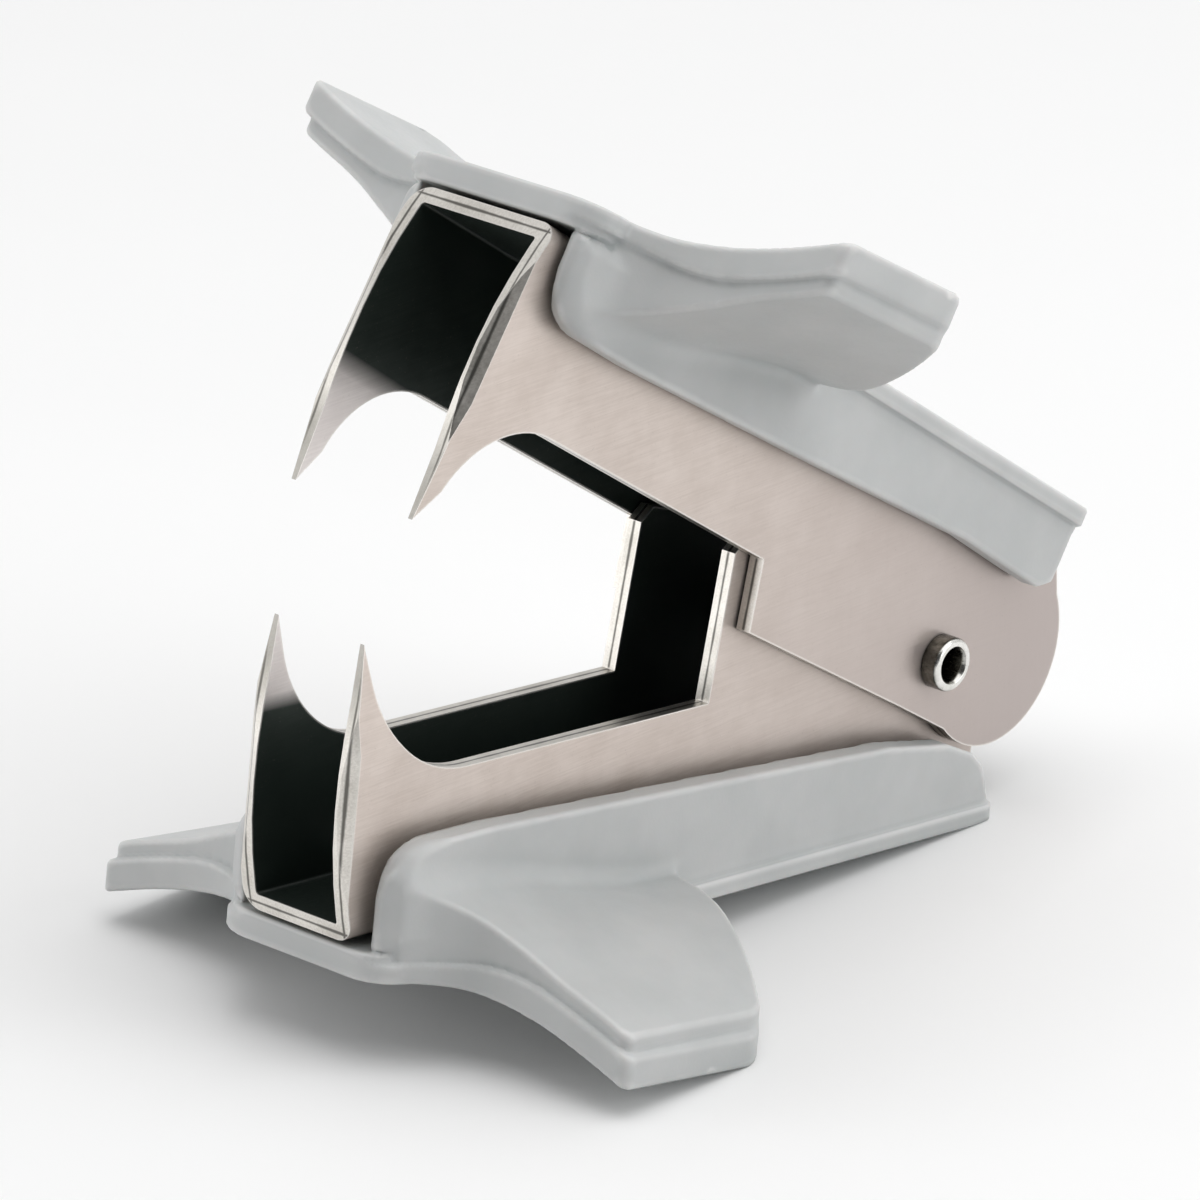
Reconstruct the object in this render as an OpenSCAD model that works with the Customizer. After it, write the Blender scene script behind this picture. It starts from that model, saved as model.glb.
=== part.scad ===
// Jaw-type staple remover: two nested pressed-steel jaws with fangs, turning on a tubular
// rivet, held open by a torsion spring, each with a moulded finger grip clipped to its back.
//
// Frame: the origin is the centre of the rivet. X runs along the hinge, -Y towards the
// fangs, +Z up. The remover stands on its lower grip as it would on a desk, jaws open.
// Every jaw or grip module is drawn in its own jaw space first: X across the jaw, -Y
// forward along the jaw's back, +Z outward from the hinge to the back.

/* [Stance] */
// Angle between the backs of the two jaws at rest, in degrees
opening_angle = 29.8; // [28:0.2:34]
// Slope of the lower jaw's back down towards the hinge, in degrees
lower_slope = 6.0; // [5.6:0.1:6.4]

/* [Steel jaws] */
// Sheet thickness of both jaws
sheet = 1.0; // [0.9:0.05:1.05]
// Outside width of the upper jaw, narrower than a standard staple's crown
upper_width = 10.5; // [10.3:0.05:10.6]
// Free gap on each side between the lower jaw and the inside of the upper jaw
jaw_gap = 0.15; // [0.1:0.05:0.2]
// Distance from the hinge centre to the outer face of a jaw's back, at the front
back_height = 8.6; // [8.5:0.1:8.8]
// Angle by which the upper jaw's back rises away from the hinge towards its rear end, in degrees
upper_lean = 1.8; // [1.4:0.1:2]
// Distance from the hinge centre to the front edge of a jaw's back
jaw_reach = 48.7; // [48:0.1:49.4]
// Outside radius of the bends between back and cheeks
bend_radius = 1.2; // [1.15:0.05:1.4]
// Radius of the hollow behind each upper fang
upper_hollow = 6.5; // [6.3:0.1:6.8]
// Radius of the hollow behind each lower fang
lower_hollow = 8.5; // [8.2:0.1:8.8]
// Thickness left at the tips of the fangs, which are ground thin from outside
tip_thick = 0.3; // [0.25:0.05:0.5]

/* [Hinge] */
// Outside radius of the rivet's shank
shank_radius = 1.35; // [1.2:0.05:1.45]
// Radius of the hole through the rivet
rivet_bore = 1.0; // [0.8:0.05:1.05]
// Radius of the rivet's rolled ends
rivet_head = 1.65; // [1.6:0.05:1.9]
// How far the rolled ends stand out from the upper jaw's cheeks
rivet_proud = 1.2; // [0.8:0.1:1.3]
// Radial running clearance between the shank and the lower jaw's holes
running_gap = 0.05; // [0.03:0.01:0.08]

/* [Return spring] */
// Wire diameter of the torsion spring
wire = 0.8; // [0.6:0.05:0.8]
// Mean radius of the coil
coil_radius = 2.5; // [2.3:0.1:2.8]
// Number of whole turns besides the part turn between the legs
coil_turns = 4; // [2:1:4]
// Distance from the hinge to the ends of the legs, along the jaw backs
leg_reach = 13.0; // [11:0.5:14]

/* [Grips] */
// Side clearance between the lower jaw and the cavity of its grip
lower_cavity_gap = 0.8; // [0.7:0.1:1]
// Side clearance between the upper jaw and the cavity of its grip
upper_cavity_gap = 0.45; // [0.4:0.05:0.6]
// Wall thickness of the grips
wall = 1.5; // [1.3:0.1:1.7]
// Thickness of the plate over the jaw's back
plate = 1.6; // [1.5:0.05:1.7]
// Gap between the jaw's back and the plate, bridged by a pad round each peg
plate_gap = 0.3; // [0.25:0.05:0.35]
// Thickness of the plate's ledge
ledge_thick = 1.15; // [0.9:0.05:1.3]
// How far the plate stands out past the walls
ledge = 0.4; // [0.2:0.1:0.5]
// Half the span over the finger wings
wing_span = 20.2; // [19:0.1:21]
// How far the outer face of a wing rises from the plate to its tip, at the front
wing_rise = 3.1; // [2.8:0.1:3.4]
// Thickness of a wing's outer layer, which forms its rim
wing_thick = 2.0; // [1.8:0.05:2.2]
// Thickness of a wing's inner layer, which stands back from the rim by the ledge
wing_step = 1.0; // [0.8:0.1:1.1]
// Height of the gusset that joins a wing to the wall at the front
gusset = 4.1; // [3.6:0.1:4.3]
// Depth of the small rest flats under the lower grip
rest_flat = 0.12; // [0.1:0.01:0.2]

/* [Hidden] */

upper_slope = lower_slope + opening_angle;
upper_half = upper_width / 2;
lower_half = upper_half - sheet - jaw_gap;
web_inside = back_height - sheet;
peg_radius = 1.15;
peg_places = [21, 38];
plate_inside = back_height + plate_gap;
plate_outside = plate_inside + plate;
wing_front = 43.4;
grip_front = 48.7;
grip_back = -5.3;
lower_skirt = 0.45;
upper_skirt = -0.45;
lower_grip_tail = [[-0.5, 5.05], [-2.9, 6.0], [-3.9, 6.9]];
upper_grip_tail = [[-3.4, 4.95], [-4.7, 5.7], [-4.9, 6.9]];
tip_round = 0.7;
taper_from = -2.5;
upper_tip = -9.6;
lower_tip = -8.85;
steel_colour = [0.80, 0.77, 0.74];
plastic_colour = [0.79, 0.81, 0.81];
bright_colour = [0.86, 0.86, 0.85];
far = 60;

// ---- placing ----

// From upper jaw space to the row's frame.
module place_upper() {
    rotate([-upper_slope, 0, 0]) children();
}

// From lower jaw space to the row's frame: the lower jaw is the upper one turned over.
module place_lower() {
    rotate([-lower_slope, 0, 0]) mirror([0, 0, 1]) children();
}

// Leans what stands on a jaw's back away from the hinge towards the rear, about the front.
module lean_back(angle) {
    translate([0, -jaw_reach, back_height]) rotate([angle, 0, 0])
        translate([0, jaw_reach, -back_height]) children();
}

// Turns a side outline, drawn with forward along X and outward along Y, into a slab across
// the jaw that reaches from x = from to x = to.
module slab(from, to) {
    translate([to, 0, 0])
        rotate([0, 0, -90]) rotate([90, 0, 0])
            linear_extrude(height = to - from) children();
}

// Turns a cross-section, drawn with across along X and outward along Y, into a bar along
// the jaw from the rear end to the front end.
module bar(rear, front) {
    translate([0, -rear, 0]) rotate([90, 0, 0])
        linear_extrude(height = front - rear) children();
}

// ---- steel jaws ----

// One channel section: back and two cheeks of one sheet with round bends.
module channel_section(half) {
    difference() {
        channel_outline(half, back_height, bend_radius);
        channel_outline(half - sheet, back_height - sheet, bend_radius - sheet);
    }
}

module channel_outline(half, top, r) {
    translate([-half, -far]) square([2 * half, far + top - r]);
    translate([-half + r, -far]) square([2 * half - 2 * r, far + top]);
    for (s = [-1, 1]) translate([s * (half - r), top - r]) circle(r = r, $fn = 48);
}

// The fang end of a cheek: a hooked point with a round hollow behind it. The hollow runs
// into the mouth edge, which is hollow_edge from the hinge's level.
module fang_outline(tip, hollow, hollow_edge, hollow_at) {
    hook = 2.15;
    hollow_centre = hollow_edge - hollow;
    hook_at = hollow_at + sqrt(pow(hollow, 2) - pow(tip + hook - hollow_centre, 2));
    difference() {
        polygon([
            [jaw_reach - 8.5, 14],
            [jaw_reach - 0.25, 14],
            [jaw_reach + 0.05, back_height],
            [jaw_reach + 0.5, 7.1],
            [jaw_reach + 0.95, 5.1],
            [jaw_reach + 1.25, 3],
            [jaw_reach + 1.35, 0.8],
            [jaw_reach + 1.3, -1.4],
            [jaw_reach + 1.1, -3.5],
            [jaw_reach + 0.8, -5.6],
            [jaw_reach + 0.45, tip],
            [hook_at, tip + hook],
            [hollow_at, tip + hook],
            [hollow_at, hollow_edge]
        ]);
        translate([hollow_at, hollow_centre]) circle(r = hollow, $fn = 96);
    }
}

module upper_cheek_outline() {
    fang_outline(upper_tip, upper_hollow, -1.7, 41.6);
    polygon([
        [-2.8, 14],
        [jaw_reach - 6, 14],
        [41.7, -1.7],
        [19.5, -0.75],
        [17.9, -4.8],
        [1.7, -3.6],
        [-4.8, -3.2],
        [-9.0, 2.5],
        [-8.8, 6.75]
    ]);
}

module upper_lobe_outline() {
    translate([-4.8, 2.5]) circle(r = 6, $fn = 96);
}

module lower_cheek_outline() {
    fang_outline(lower_tip, lower_hollow, -0.45, 40.3);
    polygon([
        [-5, 14],
        [jaw_reach - 6, 14],
        [40.4, -0.45],
        [19.6, -0.45],
        [18.5, -9.3],
        [17.5, -10.1],
        [2.0, -6.2],
        [-6.0, 2.5],
        [-5.6, 6.5]
    ]);
}

module lower_lobe_outline() {
    circle(r = 7.2, $fn = 96);
}

// What grinding takes off the outside of both fangs: a taper down to the tips and a
// slanted face along their front edges.
module ground_away(half, tip) {
    slant_out = jaw_reach + 0.7;
    slant_in = jaw_reach + 1.5;
    for (s = [0, 1]) mirror([s, 0, 0]) {
        bar(36, 54) polygon([
            [half, taper_from],
            [half - sheet + tip_thick, tip],
            [half - sheet + tip_thick, tip - 2],
            [half + 2, tip - 2],
            [half + 2, taper_from]
        ]);
        translate([0, 0, -14]) linear_extrude(height = 24) polygon([
            [half - sheet, -slant_in],
            [half, -slant_out],
            [half + 2, -slant_out],
            [half + 2, -slant_in - 2],
            [half - sheet, -slant_in - 2]
        ]);
    }
}

// A jaw: its side outline and its round rear lobe, cut through the channel, then pierced.
module jaw(half, rivet_hole, rear, lean, tip) {
    difference() {
        intersection() {
            lean_back(lean) bar(-15, 55) channel_section(half);
            union() {
                slab(-half - 1, half + 1) children(0);
                slab(-half - 1, half + 1) children(1);
            }
        }
        translate([-half + bend_radius, -rear, web_inside - 2])
            cube([2 * (half - bend_radius), 20, 8]);
        rotate([0, 90, 0]) cylinder(r = rivet_hole, h = 4 * half, center = true, $fn = 64);
        lean_back(lean) for (p = peg_places) translate([0, -p, web_inside - 1])
            cylinder(r = peg_radius + 0.1, h = sheet + 2, $fn = 48);
        ground_away(half, tip);
    }
}

module upper_jaw() {
    color(steel_colour) place_upper()
        jaw(upper_half, shank_radius + 0.02, -2.8, upper_lean, upper_tip) {
            upper_cheek_outline();
            upper_lobe_outline();
        }
}

module lower_jaw() {
    color(steel_colour) place_lower()
        jaw(lower_half, shank_radius + running_gap, -3.6, 0, lower_tip) {
            lower_cheek_outline();
            lower_lobe_outline();
        }
}

// ---- hinge ----

// Half of the rivet's lengthwise section, radius along X and hinge axis along Y.
module rivet_half_section() {
    end = upper_half + rivet_proud;
    flare = (rivet_head - rivet_bore) * 0.45;
    difference() {
        union() {
            square([shank_radius, end - 0.3]);
            translate([0, upper_half + 0.02]) square([rivet_head, rivet_proud - 0.32]);
            translate([0, end - 0.3]) square([rivet_head - 0.3, 0.3]);
            translate([rivet_head - 0.3, end - 0.3]) circle(r = 0.3, $fn = 32);
        }
        translate([-1, -1]) square([rivet_bore + 1, far]);
        polygon([
            [rivet_bore - 0.1, end - flare],
            [rivet_bore, end - flare],
            [rivet_bore + flare * 0.6, end + 0.01],
            [rivet_bore - 0.1, end + 0.01]
        ]);
    }
}

module pivot_rivet() {
    color(bright_colour) for (s = [-1, 1])
        rotate([0, 90 * s, 0]) rotate_extrude($fn = 64) rivet_half_section();
}

// ---- return spring ----

// The spring is swept from the end of the upper leg, round the back of the coil, to the
// end of the lower leg. Angles are measured from straight ahead, upwards.
lower_leg = [leg_reach, web_inside - wire / 2 - 0.03];
upper_leg = lower_leg + [0, (jaw_reach - leg_reach) * tan(upper_lean)];
upper_leg_at = upper_slope + atan2(upper_leg[1], upper_leg[0]);
lower_leg_at = lower_slope - atan2(lower_leg[1], lower_leg[0]);
coil_from = upper_leg_at + acos(coil_radius / norm(upper_leg));
coil_to = lower_leg_at - acos(coil_radius / norm(lower_leg)) + 360 * (coil_turns + 1);
coil_half_length = (coil_to - coil_from) / 360 * (wire + 0.03) / 2;
coil_steps = 20 * (coil_turns + 1);

function around(angle, radius, x) = [x, -radius * cos(angle), radius * sin(angle)];

function spring_stations() = concat(
    [[around(upper_leg_at, norm(upper_leg), coil_half_length), coil_from]],
    [for (i = [0:coil_steps])
        let (t = i / coil_steps, a = coil_from + t * (coil_to - coil_from))
            [around(a, coil_radius, coil_half_length * (1 - 2 * t)), a]],
    [[around(lower_leg_at, norm(lower_leg), -coil_half_length), coil_to]]
);

module return_spring() {
    stations = spring_stations();
    sides = 10;
    last = len(stations) - 1;
    points = [for (s = stations) for (k = [0:sides - 1])
        let (c = wire / 2 * cos(k * 360 / sides), d = wire / 2 * sin(k * 360 / sides))
            s[0] + around(s[1], c, d)];
    skin = [for (i = [0:last - 1]) for (k = [0:sides - 1])
        let (n = (k + 1) % sides)
            [i * sides + k, i * sides + n, (i + 1) * sides + n, (i + 1) * sides + k]];
    first_cap = [[for (k = [0:sides - 1]) sides - 1 - k]];
    last_cap = [[for (k = [0:sides - 1]) last * sides + k]];
    color(bright_colour)
        polyhedron(points, concat(skin, first_cap, last_cap), convexity = 10);
}

// ---- grips ----

// Plan of a wing: front and rear edge against the distance out from the centre line.
function wing_front_edge(x) =
    wing_front + 1.9 * pow(max(0, (15 - x) / 8.2), 2) - corner_drop(x);
function wing_rear_edge(x) = 53.3 - sqrt(pow(30.2, 2) - pow(x + 1.1, 2)) + corner_drop(x);
function corner_drop(x) = x < wing_span - tip_round ? 0
    : tip_round - sqrt(max(0, pow(tip_round, 2) - pow(x - wing_span + tip_round, 2)));

// Outer face of a wing, the face the fingers press: it lifts away from the plate in a
// shallow curve that grows towards the rear.
function wing_outside(x, p, start) =
    plate_outside - 0.03
    + wing_rise * pow(max(0, (x - start) / (wing_span - start)), 1.75)
        * (1 + 0.024 * (wing_front - p));

// Gusset from the wall down on to the wing's inner face, full at the front edge.
function gusset_height(x, t, start) =
    gusset * pow(max(0, 1 - (x - start) / 10), 2) * t * t * (3 - 2 * t);

module wing(start) {
    cells = 8;
    across = [start, start + 0.9, start + 1.9, start + 3, start + 4.3, start + 6, start + 8,
        start + 10, start + 12, wing_span - tip_round, wing_span - ledge - 0.06,
        wing_span - ledge, wing_span - 0.02];
    rows = len(across);
    cols = cells + 3;
    inner = [for (x = across) for (j = [0:cols - 1])
        let (
            rear = wing_rear_edge(x),
            front = wing_front_edge(x),
            t = min(1, j / cells),
            p = j <= cells ? rear + (front - ledge - 0.06 - rear) * t
                : j == cells + 1 ? front - ledge : front,
            face = wing_outside(x, p, start) - wing_thick,
            set_back = j > cells || x > wing_span - ledge - 0.03,
            rise = set_back ? 0 : wing_step + gusset_height(x, t, start)
        ) [x, -p, face - rise]];
    outer = [for (x = across) for (j = [0:cols - 1])
        let (
            rear = wing_rear_edge(x),
            front = wing_front_edge(x),
            p = j <= cells ? rear + (front - ledge - 0.06 - rear) * j / cells
                : j == cells + 1 ? front - ledge : front
        ) [x, -p, wing_outside(x, p, start)]];
    n = rows * cols;
    inner_skin = [for (i = [0:rows - 2]) for (j = [0:cols - 2]) for (f = [
        [i * cols + j, i * cols + j + 1, (i + 1) * cols + j],
        [i * cols + j + 1, (i + 1) * cols + j + 1, (i + 1) * cols + j]]) f];
    outer_skin = [for (f = inner_skin) [n + f[2], n + f[1], n + f[0]]];
    edge = concat(
        [for (j = [0:cols - 2]) [j, j + 1]],
        [for (i = [0:rows - 2]) [i * cols + cols - 1, (i + 1) * cols + cols - 1]],
        [for (j = [cols - 1:-1:1]) [(rows - 1) * cols + j, (rows - 1) * cols + j - 1]],
        [for (i = [rows - 1:-1:1]) [i * cols, (i - 1) * cols]]
    );
    rim = [for (e = edge) for (f = [[e[1], e[0], n + e[0]], [e[1], n + e[0], n + e[1]]]) f];
    polyhedron(concat(inner, outer), concat(inner_skin, outer_skin, rim), convexity = 6);
}

// Side outline of a wall, forward along X and outward along Y. Its free edge falls away
// towards the rear so that it clears the other jaw's cheeks.
module wall_outline(skirt, tail) {
    top = plate_inside + 0.3;
    front = grip_front - 0.2;
    edge_front = back_height - 5.55 - skirt;
    r = 3.6;
    polygon(concat([
        [grip_back + 0.4, top],
        [front, top],
        [front, edge_front + r],
        [front - r, edge_front],
        [40, edge_front],
        [22, back_height - 4.75 - skirt],
        [5, back_height - 3.9 - skirt]
    ], tail));
    translate([front - r, edge_front + r]) circle(r = r, $fn = 64);
}

// Plan of the plate, across along X and forward along -Y.
module plate_outline(half) {
    rear_round = 1.2;
    front_round = 2.4;
    for (s = [-1, 1]) {
        translate([s * (half - rear_round), -grip_back - rear_round])
            circle(r = rear_round, $fn = 48);
        translate([s * (half - front_round), -grip_front + front_round])
            circle(r = front_round, $fn = 48);
    }
    translate([-half + rear_round, -grip_front + front_round])
        square([2 * (half - rear_round), grip_front - front_round - grip_back]);
    translate([-half, -grip_front + front_round])
        square([2 * half, grip_front - front_round - grip_back - rear_round]);
    translate([-half + front_round, -grip_front])
        square([2 * (half - front_round), front_round + 1]);
}

// A whole grip round a jaw whose cavity is 2 * inside wide. Its pegs pass through the
// jaw's back and end in heads that hold it there.
module grip(inside, skirt, tail) {
    outside = inside + wall;
    translate([0, 0, plate_inside]) linear_extrude(height = plate) plate_outline(outside);
    translate([0, 0, plate_outside - ledge_thick]) linear_extrude(height = ledge_thick)
        plate_outline(outside + ledge);
    for (s = [0, 1]) mirror([s, 0, 0]) {
        slab(inside, outside) wall_outline(skirt, tail);
        wing(outside - 0.75);
    }
    for (p = peg_places) translate([0, -p, 0]) {
        translate([0, 0, web_inside - 0.5])
            cylinder(r = peg_radius, h = sheet + plate_gap + 0.8, $fn = 48);
        translate([0, 0, web_inside - 0.8])
            cylinder(r = peg_radius + 0.5, h = 0.75, $fn = 48);
        translate([0, 0, back_height + 0.03])
            cylinder(r = peg_radius + 1, h = plate_gap + 0.3, $fn = 48);
    }
}

module upper_grip() {
    color(plastic_colour) place_upper() lean_back(upper_lean)
        grip(upper_half + upper_cavity_gap, upper_skirt, upper_grip_tail);
}

// Height of the desk: the lower of the rear end of the plate and the wings' rear corners.
wing_low_x = wing_span - ledge;
wing_low_p = wing_rear_edge(wing_low_x);
wing_low_out = wing_outside(wing_low_x, wing_low_p, lower_half + lower_cavity_gap + wall - 0.75);
desk_at_wing = wing_low_p * sin(lower_slope) - wing_low_out * cos(lower_slope);
desk_at_rear = grip_back * sin(lower_slope) - plate_outside * cos(lower_slope);
desk = max(desk_at_wing, desk_at_rear) + rest_flat;

module lower_grip() {
    color(plastic_colour) difference() {
        place_lower() grip(lower_half + lower_cavity_gap, lower_skirt, lower_grip_tail);
        translate([-far, -far, desk - 10]) cube([2 * far, 2 * far, 10]);
    }
}

lower_jaw();
lower_grip();
upper_jaw();
upper_grip();
pivot_rivet();
return_spring();
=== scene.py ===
"""Looks for the jaw-type staple remover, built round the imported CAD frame.

The steel jaws and the rivet are the CAD nodes themselves with softened edges. The two
moulded grips and the torsion spring are finer pieces that stand for their CAD nodes.
"""

import math

import bpy
import numpy as np
from mathutils import Matrix, Vector


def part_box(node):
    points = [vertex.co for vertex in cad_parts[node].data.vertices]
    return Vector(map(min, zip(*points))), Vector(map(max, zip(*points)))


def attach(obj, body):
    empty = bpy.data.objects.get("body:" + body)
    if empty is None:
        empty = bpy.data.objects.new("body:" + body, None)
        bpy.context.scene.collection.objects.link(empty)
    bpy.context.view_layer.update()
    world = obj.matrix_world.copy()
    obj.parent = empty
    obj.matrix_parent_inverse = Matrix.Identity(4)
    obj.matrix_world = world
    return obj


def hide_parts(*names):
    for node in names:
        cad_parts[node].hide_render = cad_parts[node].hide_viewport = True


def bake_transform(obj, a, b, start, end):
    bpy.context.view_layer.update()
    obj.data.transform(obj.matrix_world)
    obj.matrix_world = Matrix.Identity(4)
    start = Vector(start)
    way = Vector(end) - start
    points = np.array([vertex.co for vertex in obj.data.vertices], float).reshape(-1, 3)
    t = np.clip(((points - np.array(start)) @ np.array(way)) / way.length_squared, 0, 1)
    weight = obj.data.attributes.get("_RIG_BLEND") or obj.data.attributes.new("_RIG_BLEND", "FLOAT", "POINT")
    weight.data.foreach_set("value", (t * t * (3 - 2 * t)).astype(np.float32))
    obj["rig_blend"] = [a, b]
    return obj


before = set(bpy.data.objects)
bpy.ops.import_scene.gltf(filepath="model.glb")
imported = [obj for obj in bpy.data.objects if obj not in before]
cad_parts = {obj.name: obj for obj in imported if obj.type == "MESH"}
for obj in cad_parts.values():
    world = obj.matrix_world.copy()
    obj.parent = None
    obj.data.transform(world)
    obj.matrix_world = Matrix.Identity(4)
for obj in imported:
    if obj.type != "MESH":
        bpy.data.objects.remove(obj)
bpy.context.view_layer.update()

MM = 0.001

# ---- sizes shared with the CAD, in millimetres and degrees ----

UPPER_SLOPE, LOWER_SLOPE, UPPER_LEAN = 35.8, 6.0, 1.8
BACK, REACH, SHEET = 8.6, 48.7, 1.0
UPPER_HALF, LOWER_HALF = 5.25, 4.1
UPPER_INSIDE, LOWER_INSIDE = 5.7, 4.9
UPPER_SKIRT, LOWER_SKIRT = -0.45, 0.45
UPPER_TAIL = [(-4.9, 6.9), (-4.7, 5.7), (-3.4, 4.95)]
LOWER_TAIL = [(-3.9, 6.9), (-2.9, 6.0), (-0.5, 5.05)]
WALL, LEDGE, LEDGE_THICK = 1.5, 0.4, 1.15
PLATE_IN, PLATE_OUT = 8.9, 10.5
GRIP_FRONT, GRIP_BACK = 48.7, -5.3
WING_FRONT, WING_SPAN, WING_RISE, WING_THICK, WING_STEP = 43.4, 20.2, 3.1, 2.0, 1.0
WING_CURVE, WING_TWIST, WING_SWEEP, ROOT_SWEEP = 1.75, 0.024, 1.9, 2.1
WING_REAR_RADIUS, WING_REAR_MIDDLE = 30.2, (-1.1, 53.3)
GUSSET, GUSSET_REACH, ROOT_REACH, TIP_ROUND, WING_EDGE = 4.1, 10, 7, 0.7, 0.3
GRIP_EDGE, LEDGE_EDGE, NOSE_ROUND, WING_FILLET = 0.22, 0.2, 1.37, 1.1
PEG_PLACES, PEG_RADIUS = (21.0, 38.0), 1.15
WIRE, COIL_RADIUS, COIL_TURNS, LEG_REACH = 0.8, 2.5, 4, 13.0

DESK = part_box("lower_grip")[0].z / MM
BEND = "bend"
GRIP_LOWS, GRIP_HIGHS = (-20.9, -6.1, 2.0), (20.9, 49.8, 15.2)
GRIP_STEP = 0.2

# Where the camera stands, seen from the hinge, and how far it aims past the hinge, in degrees.
CAMERA_AZIMUTH, CAMERA_ELEVATION, CAMERA_ROLL = 39.47, 21.455, 1.94
AIM_LEFT, AIM_UP = 1.593, 0.2204
CAMERA_DISTANCE, CAMERA_LENS = 0.577, 291.66


# ---- mesh helpers ----


def jaw_matrix(upper, lean=0.0):
    """From a jaw's own space, in mm, to the row's frame, in metres."""
    slope = UPPER_SLOPE if upper else LOWER_SLOPE
    place = Matrix.Rotation(math.radians(-slope), 4, "X")
    if not upper:
        place = place @ Matrix.Scale(-1, 4, (0, 0, 1))
    pivot = Vector((0, -REACH, BACK))
    tilt = Matrix.Rotation(math.radians(lean), 4, "X")
    lean_back = Matrix.Translation(pivot) @ tilt @ Matrix.Translation(-pivot)
    return Matrix.Scale(MM, 4) @ place @ lean_back


def mesh_object(name, points, faces):
    mesh = bpy.data.meshes.new(name)
    mesh.from_pydata([tuple(p) for p in points], [], faces)
    mesh.validate()
    obj = bpy.data.objects.new(name, mesh)
    bpy.context.scene.collection.objects.link(obj)
    return obj


# ---- grips ----
# Each grip is drawn as a distance field in its jaw's own space, in mm: negative inside, positive
# outside. Distances let edges and inner corners have true rounds. The skin is then meshed.


def round_max(a, b, r):
    """What is inside both a and b, with the edge between them rounded to radius r."""
    corner = np.hypot(np.maximum(a + r, 0), np.maximum(b + r, 0))
    return np.minimum(np.maximum(a, b), -r) + corner


def smooth_min(a, b, r):
    """What is inside a or b, with a fillet of about r in the corner between them."""
    h = np.maximum(r - np.abs(a - b), 0) / r
    return np.minimum(a, b) - h * h * r / 4


def ease(t):
    """From 0 to 1 with a gentle start and end."""
    t = np.clip(t, 0, 1)
    return t * t * (3 - 2 * t)


def between(value, low, high):
    return np.abs(value - (low + high) / 2) - (high - low) / 2


def plate_plan(x, p, half):
    """Distance to the plate's plan: a rectangle with larger rounds at the front corners."""
    r = np.where(p < 20, 1.2, 2.4)
    a, b = x - half + r, between(p, GRIP_BACK, GRIP_FRONT) + r
    return np.minimum(np.maximum(a, b), 0) + np.hypot(np.maximum(a, 0), np.maximum(b, 0)) - r


def polygon_distance(u, v, corners):
    """Signed distance to a closed outline."""
    best = np.full(np.broadcast(u, v).shape, 1e9)
    inside = np.zeros(best.shape, bool)
    for (u0, v0), (u1, v1) in zip(corners, corners[1:] + corners[:1], strict=True):
        du, dv = u1 - u0, v1 - v0
        t = np.clip(((u - u0) * du + (v - v0) * dv) / (du * du + dv * dv), 0, 1)
        best = np.minimum(best, np.hypot(u - u0 - t * du, v - v0 - t * dv))
        if dv:
            inside ^= ((v0 > v) != (v1 > v)) & (u < u0 + (v - v0) * du / dv)
    return np.where(inside, -best, best)


def wall_corners(skirt, tail):
    """Side outline of a wall, forward and outward. Its free edge falls away towards the rear."""
    top, front = PLATE_IN + 0.3, GRIP_FRONT - 0.2
    edge, r = BACK - 5.55 - skirt, 3.6
    nose = [
        (front - r + r * math.sin(a), edge + r - r * math.cos(a))
        for a in (math.radians(90 * i / 16) for i in range(17))
    ]
    return (
        [(GRIP_BACK + 0.4, top), *tail, (5, BACK - 3.9 - skirt)]
        + [(22, BACK - 4.75 - skirt), (40, edge), *nose, (front, top)]
    )


def wing_front_edge(x):
    """Swept forward towards the root, where it runs into the plate's corner."""
    sweep = WING_SWEEP * (np.maximum(0, 15 - x) / 8.2) ** 2
    return WING_FRONT + sweep + ROOT_SWEEP * np.clip((10 - x) / 3.6, 0, 1) ** 2


def wing_rear_edge(x):
    middle_x, middle_p = WING_REAR_MIDDLE
    return middle_p - np.sqrt(WING_REAR_RADIUS**2 - (x - middle_x) ** 2)


def wing_outside(x, p, start):
    lift = (np.maximum(0, x - start) / (WING_SPAN - start)) ** WING_CURVE
    return PLATE_OUT - 0.03 + WING_RISE * lift * (1 + WING_TWIST * (WING_FRONT - p))


def steepness(surface, dx, dp):
    """How much longer a step along the surface is than its plan."""
    a, b = np.gradient(surface, dx, dp)
    return np.sqrt(1 + a * a + b * b)


def wing_field(x, p, q, start, step):
    """One finger wing: a flange with a rounded rim, and the gusset that joins it to the wall."""
    plan_x, plan_p = x[:, :, 0] + 0 * p[:, :, 0], p[:, :, 0] + 0 * x[:, :, 0]
    front, rear = wing_front_edge(plan_x), wing_rear_edge(plan_x)
    outside = wing_outside(plan_x, plan_p, start)
    slope = np.clip(1 - (plan_x - start) / GUSSET_REACH, 0, 1) ** 2
    rise = WING_STEP + GUSSET * slope * ease((plan_p - rear) / (front - LEDGE - rear))
    root = ease(1 - (plan_x - start) / ROOT_REACH)
    inner = outside - WING_THICK + (WING_THICK - LEDGE_THICK) * root

    def plan(inset):
        a = (plan_p - front + inset) / steepness(front, step, step)
        b = (rear - plan_p) / steepness(rear, step, step)
        d = round_max(a, plan_x - WING_SPAN + inset, TIP_ROUND)
        d = round_max(d, b, TIP_ROUND)
        return np.maximum(d, start - plan_x)[:, :, None]

    def slab(low):
        top = (q - outside[:, :, None]) / steepness(outside, step, step)[:, :, None]
        bottom = (low[:, :, None] - q) / steepness(low, step, step)[:, :, None]
        return np.maximum(top, bottom)

    rim = round_max(plan(0), slab(inner), WING_EDGE)
    web = round_max(plan(LEDGE), slab(inner - rise), WING_EDGE)
    return smooth_min(rim, web, 0.18)


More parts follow.
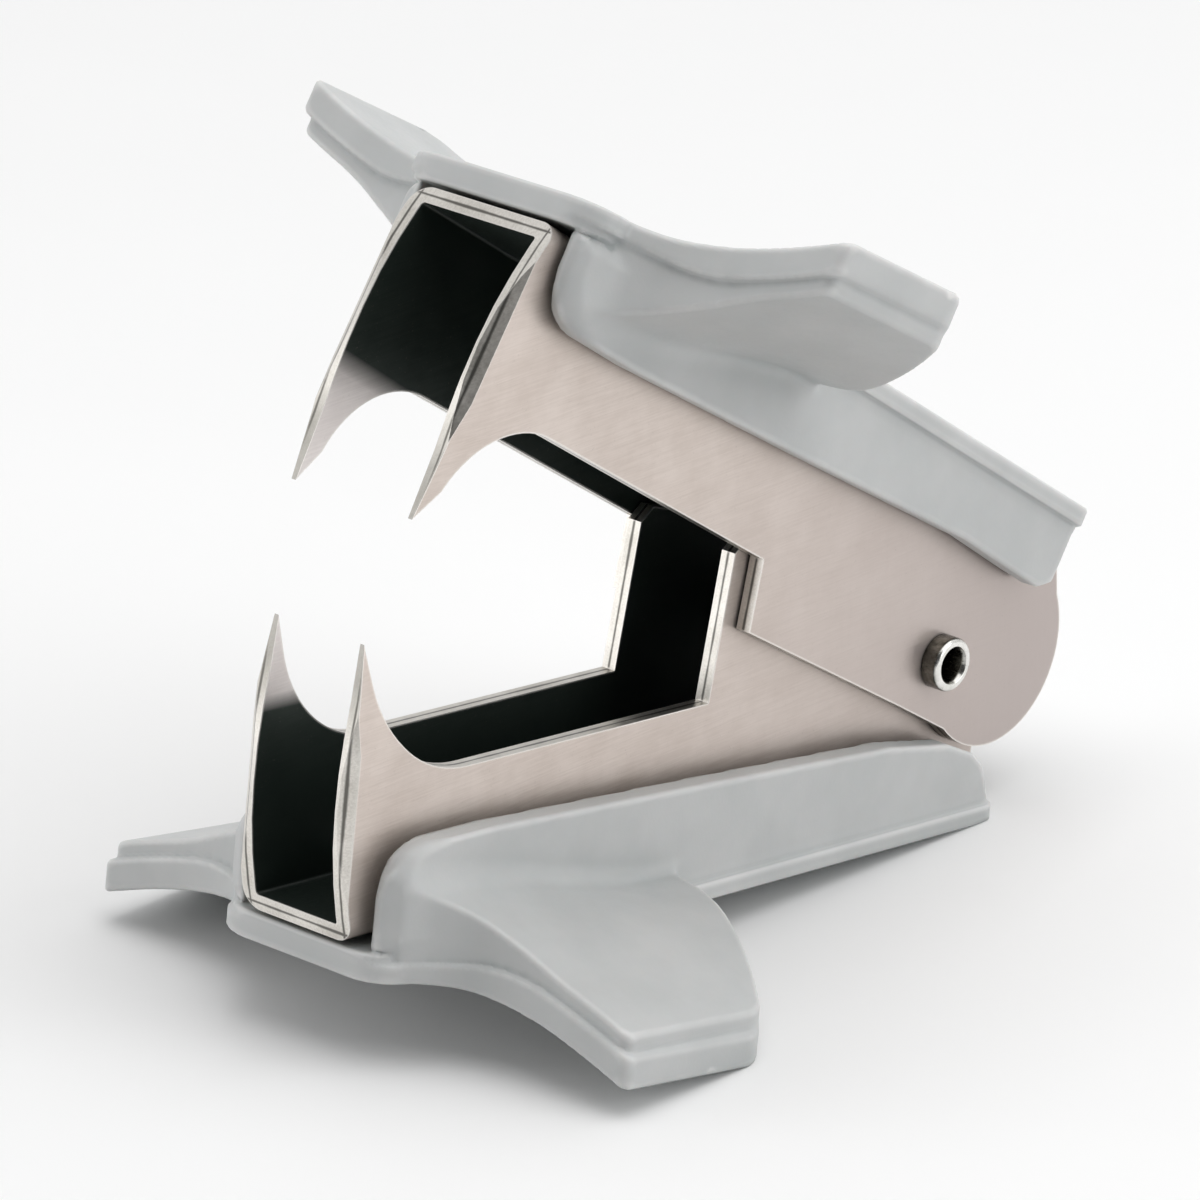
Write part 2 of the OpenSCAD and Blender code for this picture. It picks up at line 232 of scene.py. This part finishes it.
def peg_field(x, p, q):
    field = None
    inside = BACK - SHEET
    r = PEG_RADIUS
    for at in PEG_PLACES:
        away = np.hypot(x, p - at)
        for radius, low, high, edge in (
            (r, inside - 0.5, PLATE_IN + 0.3, 0.02),
            (r + 0.5, inside - 0.8, inside - 0.05, 0.35),
            (r + 1, BACK + 0.03, PLATE_IN + 0.3, 0.02),
        ):
            part = round_max(away - radius, between(q, low, high), edge)
            field = part if field is None else np.minimum(field, part)
    return field


def grip_field(x, p, q, inside, skirt, tail, step):
    outside = inside + WALL
    ledge_in = PLATE_OUT - LEDGE_THICK
    plan = plate_plan(x, p, outside)
    plate = round_max(plan, between(q, PLATE_IN, PLATE_OUT), LEDGE_EDGE)
    wider = plate_plan(x, p, outside + LEDGE)
    ledge = round_max(wider, between(q, ledge_in, PLATE_OUT), LEDGE_EDGE)
    side = polygon_distance(p[0, :, :], q[0, :, :], wall_corners(skirt, tail))[None, :, :]
    edge = GRIP_EDGE + (NOSE_ROUND - GRIP_EDGE) * np.clip((p - GRIP_FRONT + 5.2) / 4, 0, 1)
    walls = round_max(round_max(side, plan, edge), inside - x, GRIP_EDGE)
    wing = wing_field(x, p, q, outside - 0.75, step)
    body = smooth_min(smooth_min(plate, walls, LEDGE_EDGE), ledge, LEDGE_EDGE)
    # No fillet where the wing's rim runs on from the ledge, and the full one below it.
    fillet = 0.08 + (WING_FILLET - 0.08) * np.clip((ledge_in - 0.3 - q) / 1.2, 0, 1)
    body = smooth_min(body, wing, fillet)
    return np.minimum(body, peg_field(x, p, q))


def skin(field, slopes, origin, step):
    """Mesh of the field's zero surface: one point in each cell it crosses, and one face across
    each grid edge it crosses. Each point is put where the tangent planes of its cell's crossings
    meet, so that edges stay crisp."""
    inside = field < 0
    cells = tuple(n - 1 for n in field.shape)
    corner_count = np.zeros(cells, np.uint8)
    corners = [(i, j, k) for i in (0, 1) for j in (0, 1) for k in (0, 1)]

    def at(array, corner):
        return array[tuple(slice(c, c + n) for c, n in zip(corner, cells, strict=True))]

    for corner in corners:
        corner_count += at(inside, corner)
    active = (corner_count > 0) & (corner_count < 8)
    where = np.argwhere(active)
    number = np.full(cells, -1, np.int32)
    number[active] = np.arange(len(where))

    total, hits = np.zeros((len(where), 3)), np.zeros((len(where), 1))
    planes, offsets = np.zeros((len(where), 3, 3)), np.zeros((len(where), 3))
    for axis in range(3):
        for start in (c for c in corners if c[axis] == 0):
            end = tuple(c + (n == axis) for n, c in enumerate(start))
            a, b = at(field, start)[active], at(field, end)[active]
            crossed = ((a < 0) != (b < 0))[:, None]
            t = np.where(crossed[:, 0], a / np.where(crossed[:, 0], a - b, 1), 0)
            point = np.tile(np.array(start, float), (len(where), 1))
            point[:, axis] = t
            normal = np.stack(
                [(1 - t) * at(g, start)[active] + t * at(g, end)[active] for g in slopes], 1
            )
            normal *= crossed / np.maximum(np.linalg.norm(normal, axis=1, keepdims=True), 1e-6)
            planes += normal[:, :, None] * normal[:, None, :]
            offsets += normal * (normal * point).sum(1, keepdims=True)
            total += point * crossed
            hits += crossed
    mean, hold = total / hits, 0.08
    known = (offsets + hold * mean)[:, :, None]
    meeting = np.linalg.solve(planes + hold * np.eye(3), known)[:, :, 0]
    points = (where + np.clip(meeting, -0.1, 1.1)) * step + origin

    faces = []
    for axis in range(3):
        u, v = (axis + 1) % 3, (axis + 2) % 3
        low = [slice(1, -1)] * 3
        high = [slice(1, -1)] * 3
        low[axis], high[axis] = slice(0, -1), slice(1, None)
        a, b = inside[tuple(low)], inside[tuple(high)]
        for flip in (False, True):
            edge = np.argwhere((a & ~b) if not flip else (~a & b)) + 1
            edge[:, axis] -= 1
            ring = []
            for du, dv in ((-1, -1), (0, -1), (0, 0), (-1, 0)):
                cell = edge.copy()
                cell[:, u] += du
                cell[:, v] += dv
                ring.append(number[tuple(cell.T)])
            quad = np.stack(ring, 1)
            faces.append(quad[:, ::-1] if flip else quad)
    return points, np.concatenate(faces)


def build_grip(name, node, body, upper):
    inside = UPPER_INSIDE if upper else LOWER_INSIDE
    skirt = UPPER_SKIRT if upper else LOWER_SKIRT
    tail = UPPER_TAIL if upper else LOWER_TAIL
    step = GRIP_STEP
    axes = [np.arange(a, b, step) for a, b in zip(GRIP_LOWS, GRIP_HIGHS, strict=True)]
    x, p, q = axes[0][:, None, None], axes[1][None, :, None], axes[2][None, None, :]

    def measure(dx, dp, dq):
        return grip_field(np.abs(x + dx), p + dp, q + dq, inside, skirt, tail, step)

    field, nudge = measure(0, 0, 0), 0.02
    slopes = [measure(*(nudge * (n == axis) for n in range(3))) - field for axis in range(3)]
    points, faces = skin(field, slopes, np.array(GRIP_LOWS), step)
    points[:, 1] *= -1
    obj = mesh_object(name, points, faces[:, ::-1].tolist())
    store_bend(obj.data)
    obj.data.transform(jaw_matrix(upper, UPPER_LEAN if upper else 0))
    if not upper:
        obj.data.flip_normals()
        flatten_below(obj.data, DESK * MM)
    obj.data.shade_smooth()
    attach(obj, body)
    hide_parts(node)
    return obj


def store_bend(mesh):
    """Stores how sharply the surface bends at each point, per mm: above 0 on outer edges, below 0
    in inner corners."""
    n = len(mesh.vertices)
    co, normal = np.empty(n * 3, np.float32), np.empty(n * 3, np.float32)
    mesh.vertices.foreach_get("co", co)
    mesh.vertices.foreach_get("normal", normal)
    co, normal = co.reshape(-1, 3).astype(float), normal.reshape(-1, 3).astype(float)
    edges = np.empty(len(mesh.edges) * 2, np.int32)
    mesh.edges.foreach_get("vertices", edges)
    a, b = edges.reshape(-1, 2).T
    count = np.maximum(np.bincount(a, minlength=n) + np.bincount(b, minlength=n), 1)

    def mean(of_a, of_b):
        return (np.bincount(a, of_a, n) + np.bincount(b, of_b, n)) / count

    step = co[b] - co[a]
    squared = np.maximum((step * step).sum(1), 1e-9)
    value = mean(-(step * normal[a]).sum(1) / squared, (step * normal[b]).sum(1) / squared)
    for _ in range(5):
        value = 0.5 * value + 0.5 * mean(value[b], value[a])
    mesh.attributes.new(BEND, "FLOAT", "POINT").data.foreach_set("value", value.astype(np.float32))


def flatten_below(mesh, height):
    """Flat rests: points below the desk come up to it."""
    for v in mesh.vertices:
        v.co.z = max(v.co.z, height)


# ---- spring ----


def around(angle, radius, x):
    a = math.radians(angle)
    return Vector((x, -radius * math.cos(a), radius * math.sin(a)))


def build_spring():
    inside = BACK - SHEET
    low = (LEG_REACH, inside - WIRE / 2 - 0.03)
    up = (LEG_REACH, low[1] + (REACH - LEG_REACH) * math.tan(math.radians(UPPER_LEAN)))
    up_at = UPPER_SLOPE + math.degrees(math.atan2(up[1], up[0]))
    low_at = LOWER_SLOPE - math.degrees(math.atan2(low[1], low[0]))
    start = up_at + math.degrees(math.acos(COIL_RADIUS / math.hypot(*up)))
    end = low_at - math.degrees(math.acos(COIL_RADIUS / math.hypot(*low))) + 360 * (COIL_TURNS + 1)
    half = (end - start) / 360 * (WIRE + 0.03) / 2
    turns = 72 * (COIL_TURNS + 1)
    r = WIRE / 2

    coil = []
    for i in range(turns + 1):
        t = i / turns
        angle = start + t * (end - start)
        coil.append((around(angle, COIL_RADIUS, half * (1 - 2 * t)), angle))
    upper_end, lower_end = around(up_at, math.hypot(*up), half), around(low_at, math.hypot(*low), -half)
    upper_way = (upper_end - coil[0][0]).normalized()
    lower_way = (lower_end - coil[-1][0]).normalized()
    chamfer = 0.12
    stations = [
        (upper_end, start, r - chamfer),
        (upper_end - upper_way * chamfer, start, r),
    ]
    stations += [(p, a, r) for p, a in coil]
    stations += [
        (lower_end - lower_way * chamfer, end, r),
        (lower_end, end, r - chamfer),
    ]
    sides = 20
    points = []
    for centre, angle, radius in stations:
        for k in range(sides):
            turn = 2 * math.pi * k / sides
            points.append((centre + around(angle, radius * math.cos(turn), radius * math.sin(turn))) * MM)
    faces = []
    for i in range(len(stations) - 1):
        for k in range(sides):
            n = (k + 1) % sides
            faces.append((i * sides + k, i * sides + n, (i + 1) * sides + n, (i + 1) * sides + k))
    faces.append(tuple(reversed(range(sides))))
    last = (len(stations) - 1) * sides
    faces.append(tuple(range(last, last + sides)))
    obj = mesh_object("spring_wire", points, faces)
    obj.data.shade_smooth()
    reach = 0.0016
    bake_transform(obj, "lower", "upper", start=(-reach, 0, 0), end=(reach, 0, 0))
    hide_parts("return_spring")
    return obj


# ---- CAD nodes kept as they are ----


def soften_edges(node, width, angle=30):
    """The CAD node's own mesh, with its sharp edges broken by a small round."""
    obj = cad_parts[node]
    mesh = obj.data
    for name in [a.name for a in mesh.attributes if a.name == "custom_normal"]:
        mesh.attributes.remove(mesh.attributes[name])
    mesh.shade_smooth()
    weld = obj.modifiers.new("weld", "WELD")
    weld.merge_threshold = 2e-6
    flat = obj.modifiers.new("flat_faces", "DECIMATE")
    flat.decimate_type, flat.angle_limit = "DISSOLVE", math.radians(0.3)
    bevel = obj.modifiers.new("broken_edges", "BEVEL")
    bevel.width, bevel.segments = width * MM, 2
    bevel.limit_method, bevel.angle_limit = "ANGLE", math.radians(angle)
    bevel.harden_normals = True
    bevel.use_clamp_overlap = True
    return obj


# ---- materials ----

# Colour of the painted shade in hollows.
HOLLOW_SHADE_COLOUR = (0.015, 0.017, 0.015)


class Nodes:
    """Short calls for building a node tree."""

    def __init__(self, name):
        self.material = bpy.data.materials.new(name)
        self.material.use_nodes = True
        self.tree = self.material.node_tree
        self.tree.nodes.clear()
        self.out = self.add("ShaderNodeOutputMaterial")
        self.shader = self.add("ShaderNodeBsdfPrincipled")
        self.link(self.shader.outputs[0], self.out.inputs[0])

    def add(self, kind, **values):
        node = self.tree.nodes.new(kind)
        for key, value in values.items():
            setattr(node, key, value)
        return node

    def link(self, a, b):
        self.tree.links.new(a, b)

    def put(self, socket, value):
        if isinstance(value, bpy.types.NodeSocket):
            self.link(value, socket)
        else:
            socket.default_value = value

    def coords(self, turn=(0, 0, 0), scale=(1, 1, 1)):
        source = self.add("ShaderNodeTexCoord").outputs["Object"]
        mapping = self.add("ShaderNodeMapping")
        self.link(source, mapping.inputs["Vector"])
        mapping.inputs["Rotation"].default_value = [math.radians(a) for a in turn]
        mapping.inputs["Scale"].default_value = scale
        return mapping.outputs[0]

    def noise(self, vector, size, detail=3.0, rough=0.5):
        """Noise whose features are about size mm across."""
        node = self.add("ShaderNodeTexNoise")
        self.link(vector, node.inputs["Vector"])
        node.inputs["Scale"].default_value = 1 / (size * MM)
        node.inputs["Detail"].default_value = detail
        node.inputs["Roughness"].default_value = rough
        return node.outputs["Fac"]

    def spread(self, value, low, high, to_low=0.0, to_high=1.0):
        node = self.add("ShaderNodeMapRange", clamp=True)
        self.put(node.inputs["Value"], value)
        node.inputs["From Min"].default_value = low
        node.inputs["From Max"].default_value = high
        node.inputs["To Min"].default_value = to_low
        node.inputs["To Max"].default_value = to_high
        return node.outputs[0]

    def math(self, operation, *values):
        node = self.add("ShaderNodeMath", operation=operation)
        for socket, value in zip(node.inputs, values, strict=False):
            self.put(socket, value)
        return node.outputs[0]

    def blend(self, a, b, share):
        """A share of a and the rest of b."""
        return self.math("ADD", self.math("MULTIPLY", a, share), self.math("MULTIPLY", b, 1 - share))

    def mix(self, share, a, b):
        node = self.add("ShaderNodeMix", data_type="RGBA")
        self.put(node.inputs["Factor"], share)
        for socket, value in zip(
            [s for s in node.inputs if s.type == "RGBA"], (a, b), strict=True
        ):
            self.put(socket, (*value, 1) if isinstance(value, tuple) else value)
        return [s for s in node.outputs if s.type == "RGBA"][0]

    def bump(self, height, strength, depth, under=None):
        node = self.add("ShaderNodeBump")
        node.inputs["Strength"].default_value = strength
        node.inputs["Distance"].default_value = depth * MM
        self.link(height, node.inputs["Height"])
        if under is not None:
            self.link(under, node.inputs["Normal"])
        return node.outputs[0]

    def stored(self, name):
        """A value stored on the mesh's points."""
        return self.add("ShaderNodeAttribute", attribute_name=name).outputs["Fac"]

    def edge_mask(self, radius):
        """1 on broken edges, 0 on flats, from the gap between the plain and the rounded normal."""
        rounded = self.add("ShaderNodeBevel", samples=6)
        rounded.inputs["Radius"].default_value = radius * MM
        plain = self.add("ShaderNodeNewGeometry").outputs["Normal"]
        dot = self.add("ShaderNodeVectorMath", operation="DOT_PRODUCT")
        self.link(rounded.outputs[0], dot.inputs[0])
        self.link(plain, dot.inputs[1])
        return self.spread(dot.outputs["Value"], 0.995, 0.9)

    def open_share(self, distance, samples=12):
        """1 in the open, towards 0 deep in a hollow."""
        node = self.add("ShaderNodeAmbientOcclusion", samples=samples)
        node.inputs["Distance"].default_value = distance * MM
        return node.outputs["AO"]

    def finish(self, **values):
        for key, value in values.items():
            self.put(self.shader.inputs[key.replace("_", " ")], value)
        return self.material


def plastic():
    """Pale grey satin moulded plastic: fine spark-eroded grain, faint flow mottling, painted highlights on
    outer edges and painted shade in inner corners and hollows.
    """
    n = Nodes("grip_plastic")
    place = n.coords()
    mottle = n.noise(place, 6.0, 4, 0.55)
    fine = n.noise(place, 0.22, 2, 0.6)
    scuff = n.noise(n.coords((20, 0, 35), (1, 0.08, 1)), 0.5, 5, 0.7)
    colour = n.mix(n.spread(mottle, 0.35, 0.65), (0.535, 0.550, 0.548), (0.590, 0.600, 0.597))
    # Painted highlight: outer edges are drawn near white.
    edge_highlight_share = n.spread(n.stored(BEND), 0.25, 1.0)
    edge_highlight_share = n.math("MULTIPLY", edge_highlight_share, n.spread(mottle, 0.3, 0.7, 0.5, 0.9))
    colour = n.mix(edge_highlight_share, colour, (0.88, 0.88, 0.87))
    # Painted shade in inner corners.
    crease_shade_share = n.spread(n.stored(BEND), -0.2, -1.0, 0.0, 0.45)
    colour = n.mix(crease_shade_share, colour, (0.24, 0.28, 0.28))
    # Painted shade in hollows.
    unshaded_share = n.spread(n.open_share(3.0), 0.25, 0.9, 0.35, 1.0)
    colour = n.mix(n.math("SUBTRACT", 1.0, unshaded_share), colour, (0.30, 0.34, 0.335))
    rough = n.spread(n.blend(fine, scuff, 0.5), 0.3, 0.7, 0.34, 0.52)
    normal = n.bump(fine, 0.35, 0.015)
    return n.finish(
        Base_Color=colour,
        Roughness=rough,
        Normal=normal,
        IOR=1.5,
        Coat_Weight=0.12,
        Coat_Roughness=0.25,
        Subsurface_Weight=0.04,
        Subsurface_Scale=0.0012,
    )


def jaw_steel(name, side, upper):
    """Satin nickel-plated sheet: grain along the jaw, soft blotches and painted highlights on the broken
    edges. Cut edges have a dark line along their middle. The inside of the channel is painted dark as shade,
    but for the fangs' tips."""
    slope = UPPER_SLOPE if upper else LOWER_SLOPE
    half = UPPER_HALF if upper else LOWER_HALF
    n = Nodes(name)
    place = n.coords((slope, 0, 0))
    split = n.add("ShaderNodeSeparateXYZ")
    n.link(place, split.inputs[0])
    across, back, out = (n.math("MULTIPLY", split.outputs[k], 1 / MM) for k in range(3))
    across = n.math("ABSOLUTE", across)
    out = out if upper else n.math("MULTIPLY", out, -1.0)

    grain = n.noise(n.coords((slope, 0, 0), (1, 0.035, 1)), 0.11, 3, 0.65)
    cross = n.noise(n.coords((slope, 0, 0), (1, 1, 0.05)), 0.25, 2, 0.6)
    blotch = n.noise(place, 3.5, 4, 0.6)
    speck = n.noise(place, 0.16, 2, 0.7)
    low, high = {
        "outside": ((0.63, 0.545, 0.490), (0.73, 0.645, 0.590)),
        "edge": ((0.62, 0.59, 0.54), (0.84, 0.81, 0.76)),
        # The inside colours are painted shade: the same plated steel drawn near black.
        "inside": ((0.018, 0.026, 0.022), (0.030, 0.040, 0.034)),
    }[side]
    tone = n.spread(n.blend(grain, blotch, 0.5), 0.38, 0.62)
    colour = n.mix(tone, low, high)
    if side == "outside":
        # Painted shade: the outside is drawn darker towards the rear end.
        rear_shade = n.spread(back, -30.0, 8.0, 0.0, 0.9 if upper else 0.5)
        colour = n.mix(rear_shade, colour, (0.50, 0.44, 0.42))
        metal = 0.62
    elif side == "inside":
        # Towards the fangs' tips the painted shade fades back to the plated colour.
        shade_from, shade_to = (-1.8, -3.1) if upper else (-3.2, -4.2)
        tip = n.math("MULTIPLY", n.spread(out, shade_from, shade_to), n.spread(back, -39.0, -41.0))
        plated = n.mix(tone, (0.70, 0.65, 0.63), (0.80, 0.75, 0.73))
        colour = n.mix(tip, colour, plated)
        metal = n.spread(tip, 0.0, 1.0, 0.35, 0.85)
    else:
        lean = math.tan(math.radians(UPPER_LEAN)) if upper else 0.0
        web = n.math("MULTIPLY_ADD", back, lean, BACK - SHEET / 2 + REACH * lean)
        from_cheek = n.math("ABSOLUTE", n.math("SUBTRACT", across, half - SHEET / 2))
        from_web = n.math("ABSOLUTE", n.math("SUBTRACT", out, web))
        middle = n.math("MINIMUM", from_cheek, from_web)
        wander = n.math("MULTIPLY_ADD", blotch, 0.16, middle)
        # A dark line along the middle of each cut edge.
        middle_dark_line = n.spread(wander, 0.20, 0.12, 0.0, 0.9)
        colour = n.mix(middle_dark_line, colour, (0.10, 0.095, 0.085))
        metal = 1.0
    pits = n.spread(speck, 0.26, 0.34, 0.25, 0.0)
    colour = n.mix(pits, colour, (0.30, 0.26, 0.23))
    # Painted highlight: the broken edges are drawn brighter, as if catching light.
    edge_highlight_colour = (0.80, 0.77, 0.73) if side == "edge" else (0.93, 0.90, 0.86)
    colour = n.mix(n.edge_mask(0.22), colour, edge_highlight_colour)
    if side == "edge":
        point = n.spread(out, -2.0, -6.5, 0.0, 0.6)
        point = n.math("MULTIPLY", point, n.spread(back, -39.0, -41.0))
        colour = n.mix(point, colour, (0.14, 0.135, 0.12))
    # Painted shade: deep in the channel the inside is drawn near black, and the outside darkens in the
    # corners beside the grips.
    if side == "inside":
        unshaded_share = n.math("MAXIMUM", n.spread(n.open_share(9.0, 16), 0.42, 0.80), tip)
        colour = n.mix(unshaded_share, (0.022, 0.032, 0.027), colour)
    else:
        unshaded_share = n.spread(n.open_share(0.8), 0.15, 0.6, 0.35, 1.0)
        colour = n.mix(unshaded_share, (0.05, 0.05, 0.045), colour)
    rough = n.spread(n.blend(grain, cross, 0.6), 0.3, 0.7, 0.30, 0.44)
    normal = n.bump(grain, 0.22, 0.010, n.bump(blotch, 0.10, 0.05))
    return n.finish(Base_Color=colour, Metallic=metal, Roughness=rough, Normal=normal)


def spring_steel():
    """Bright plated wire with fine drawing marks."""
    n = Nodes("spring_steel")
    marks = n.noise(n.coords(), 0.5, 3, 0.6)
    fine = n.noise(n.coords((0, 0, 0), (0.15, 1, 1)), 0.15, 2, 0.6)
    colour = n.mix(n.spread(marks, 0.35, 0.65), (0.50, 0.49, 0.47), (0.72, 0.71, 0.69))
    # Painted highlight on the wire's broken edges.
    colour = n.mix(n.edge_mask(0.1), colour, (0.95, 0.94, 0.91))
    # Painted shade in hollows.
    colour = n.mix(n.spread(n.open_share(4.0), 0.40, 0.85), HOLLOW_SHADE_COLOUR, colour)
    rough = n.spread(fine, 0.3, 0.7, 0.16, 0.32)
    return n.finish(Base_Color=colour, Metallic=1.0, Roughness=rough, Normal=n.bump(fine, 0.2, 0.01))


def rivet_steel():
    """Rolled rims painted bright as highlight, the shank's side painted dark as shade, and painted shade in
    the bore.
    """
    n = Nodes("rivet_steel")
    marks = n.noise(n.coords(), 0.5, 3, 0.6)
    fine = n.noise(n.coords((0, 0, 0), (0.15, 1, 1)), 0.15, 2, 0.6)
    # Painted highlight and shade: faces along the hinge axis are drawn bright, the shank's side dark.
    facing = n.add("ShaderNodeSeparateXYZ")
    n.link(n.add("ShaderNodeNewGeometry").outputs["Normal"], facing.inputs[0])
    rim = n.spread(n.math("ABSOLUTE", facing.outputs["X"]), 0.25, 0.7)
    shaded_shank_colour = n.mix(n.spread(marks, 0.35, 0.65), (0.10, 0.095, 0.08), (0.26, 0.25, 0.22))
    highlit_rim_colour = n.mix(n.spread(marks, 0.35, 0.65), (0.74, 0.73, 0.69), (0.88, 0.87, 0.84))
    colour = n.mix(rim, shaded_shank_colour, highlit_rim_colour)
    # Painted shade in the bore and hollows.
    colour = n.mix(n.spread(n.open_share(2.0), 0.30, 0.70), HOLLOW_SHADE_COLOUR, colour)
    rough = n.spread(fine, 0.3, 0.7, 0.16, 0.30)
    return n.finish(Base_Color=colour, Metallic=1.0, Roughness=rough, Normal=n.bump(fine, 0.2, 0.01))


def wear(obj, *materials):
    obj.data.materials.clear()
    for m in materials:
        obj.data.materials.append(m)


def mark_sheet(obj, half, upper):
    """Slot 0 is the plated outside, 1 the cut edges of the sheet and 2 the inside of the channel, a copy of
    the steel painted dark as shade.
    """
    to_jaw = jaw_matrix(upper, UPPER_LEAN if upper else 0).inverted()
    inside_half, inside_top = half - SHEET + 0.02, BACK - SHEET + 0.02
    for face in obj.data.polygons:
        points = [to_jaw @ obj.data.vertices[v].co for v in face.vertices]
        normal = (to_jaw.to_3x3() @ face.normal).normalized()
        web = abs(normal.z) > 0.999 and min(p.z for p in points) > BACK - SHEET - 0.1
        slanted = 0.4 < abs(normal.x) < 0.8 and normal.y < -0.5
        if slanted or abs(normal.x) < 0.02 and not web:
            face.material_index = 1
        elif max(abs(p.x) for p in points) < inside_half and max(p.z for p in points) < inside_top:
            face.material_index = 2


# ---- pieces ----

grip_material = plastic()
lower_grip = build_grip("lower_finger_grip", "lower_grip", "lower", upper=False)
upper_grip = build_grip("upper_finger_grip", "upper_grip", "upper", upper=True)
for grip in (lower_grip, upper_grip):
    wear(grip, grip_material)

for node, half in (("lower_jaw", LOWER_HALF), ("upper_jaw", UPPER_HALF)):
    upper = node == "upper_jaw"
    jaw = soften_edges(node, 0.14)
    wear(jaw, *(jaw_steel(f"{node}_{side}", side, upper) for side in ("outside", "edge", "inside")))
    mark_sheet(jaw, half, upper)

rivet = soften_edges("pivot_rivet", 0.05, angle=50)
wear(rivet, rivet_steel())

wear(build_spring(), spring_steel())


# ---- stage, light and camera ----


def build_floor():
    size = 1.5
    floor = mesh_object(
        "floor",
        [(-size, -size, 0), (size, -size, 0), (size, size, 0), (-size, size, 0)],
        [(0, 1, 2, 3)],
    )
    floor.location.z = DESK * MM - 1e-5
    n = Nodes("floor_paper")
    seen = n.mix(n.noise(n.coords(), 30.0), (0.95, 0.95, 0.95), (0.97, 0.97, 0.97))
    tone = n.mix(n.add("ShaderNodeLightPath").outputs["Is Diffuse Ray"], seen, (0.76, 0.76, 0.76))
    wear(floor, n.finish(Base_Color=tone, Roughness=0.9))


def build_light(name, place, target, size, power):
    data = bpy.data.lights.new(name, "AREA")
    data.shape, data.size, data.size_y, data.energy = "RECTANGLE", size[0], size[1], power
    lamp = bpy.data.objects.new(name, data)
    bpy.context.scene.collection.objects.link(lamp)
    lamp.location = place
    lamp.rotation_euler = (Vector(target) - Vector(place)).to_track_quat("-Z", "Y").to_euler()


def camera_way():
    """From the hinge towards the camera."""
    azimuth, elevation = math.radians(CAMERA_AZIMUTH), math.radians(CAMERA_ELEVATION)
    level = Vector((math.sin(azimuth), -math.cos(azimuth), 0))
    return level * math.cos(elevation) + Vector((0, 0, math.sin(elevation)))


def build_world(strength, camera_side):
    """Even light all round, but for a dimmer patch where the camera stands."""
    world = bpy.data.worlds.new("studio")
    bpy.context.scene.world = world
    world.use_nodes = True
    nodes, links = world.node_tree.nodes, world.node_tree.links
    facing = nodes.new("ShaderNodeVectorMath")
    facing.operation = "DOT_PRODUCT"
    facing.inputs[1].default_value = camera_way()
    links.new(nodes.new("ShaderNodeTexCoord").outputs["Generated"], facing.inputs[0])
    dim = nodes.new("ShaderNodeMapRange")
    dim.interpolation_type = "SMOOTHSTEP"
    dim.inputs["From Min"].default_value, dim.inputs["From Max"].default_value = 0.3, 0.9
    dim.inputs["To Min"].default_value = strength
    dim.inputs["To Max"].default_value = strength * camera_side
    links.new(facing.outputs["Value"], dim.inputs["Value"])
    back = nodes["Background"]
    back.inputs["Color"].default_value = (1.0, 1.0, 1.0, 1)
    links.new(dim.outputs["Result"], back.inputs["Strength"])


def build_camera():
    """The photograph's viewing angle. The camera looks past the hinge, so the hinge sits right of
    the middle."""
    out, azimuth, roll = camera_way(), math.radians(CAMERA_AZIMUTH), math.radians(CAMERA_ROLL)
    right = Vector((math.cos(azimuth), math.sin(azimuth), 0))
    up = out.cross(right)
    right, up = (
        math.cos(roll) * right + math.sin(roll) * up,
        -math.sin(roll) * right + math.cos(roll) * up,
    )
    aim = math.tan(math.radians(AIM_UP)) * up - math.tan(math.radians(AIM_LEFT)) * right
    look = (aim - out).normalized()
    side = look.cross(up).normalized()
    data = bpy.data.cameras.new("camera")
    data.sensor_width, data.lens = 36, CAMERA_LENS
    data.clip_start, data.clip_end = 0.01, 10
    camera = bpy.data.objects.new("camera", data)
    bpy.context.scene.collection.objects.link(camera)
    turn = Matrix((side, side.cross(look), -look)).transposed()
    camera.matrix_world = Matrix.Translation(out * CAMERA_DISTANCE) @ turn.to_4x4()
    bpy.context.scene.camera = camera


build_floor()
build_world(0.72, camera_side=0.1)
middle = (0, -0.02, 0.01)
build_light("key", (0.12, 0.02, 0.62), middle, (0.7, 0.7), 2.2)
build_light("left", (-0.40, -0.42, 0.08), middle, (0.3, 0.4), 0.65)
build_light("right", (0.50, 0.15, 0.22), middle, (0.4, 0.4), 0.7)
build_light("back", (0.1, 0.5, 0.4), middle, (0.4, 0.3), 0.1)
build_camera()
bpy.context.scene.view_settings.view_transform = "Standard"
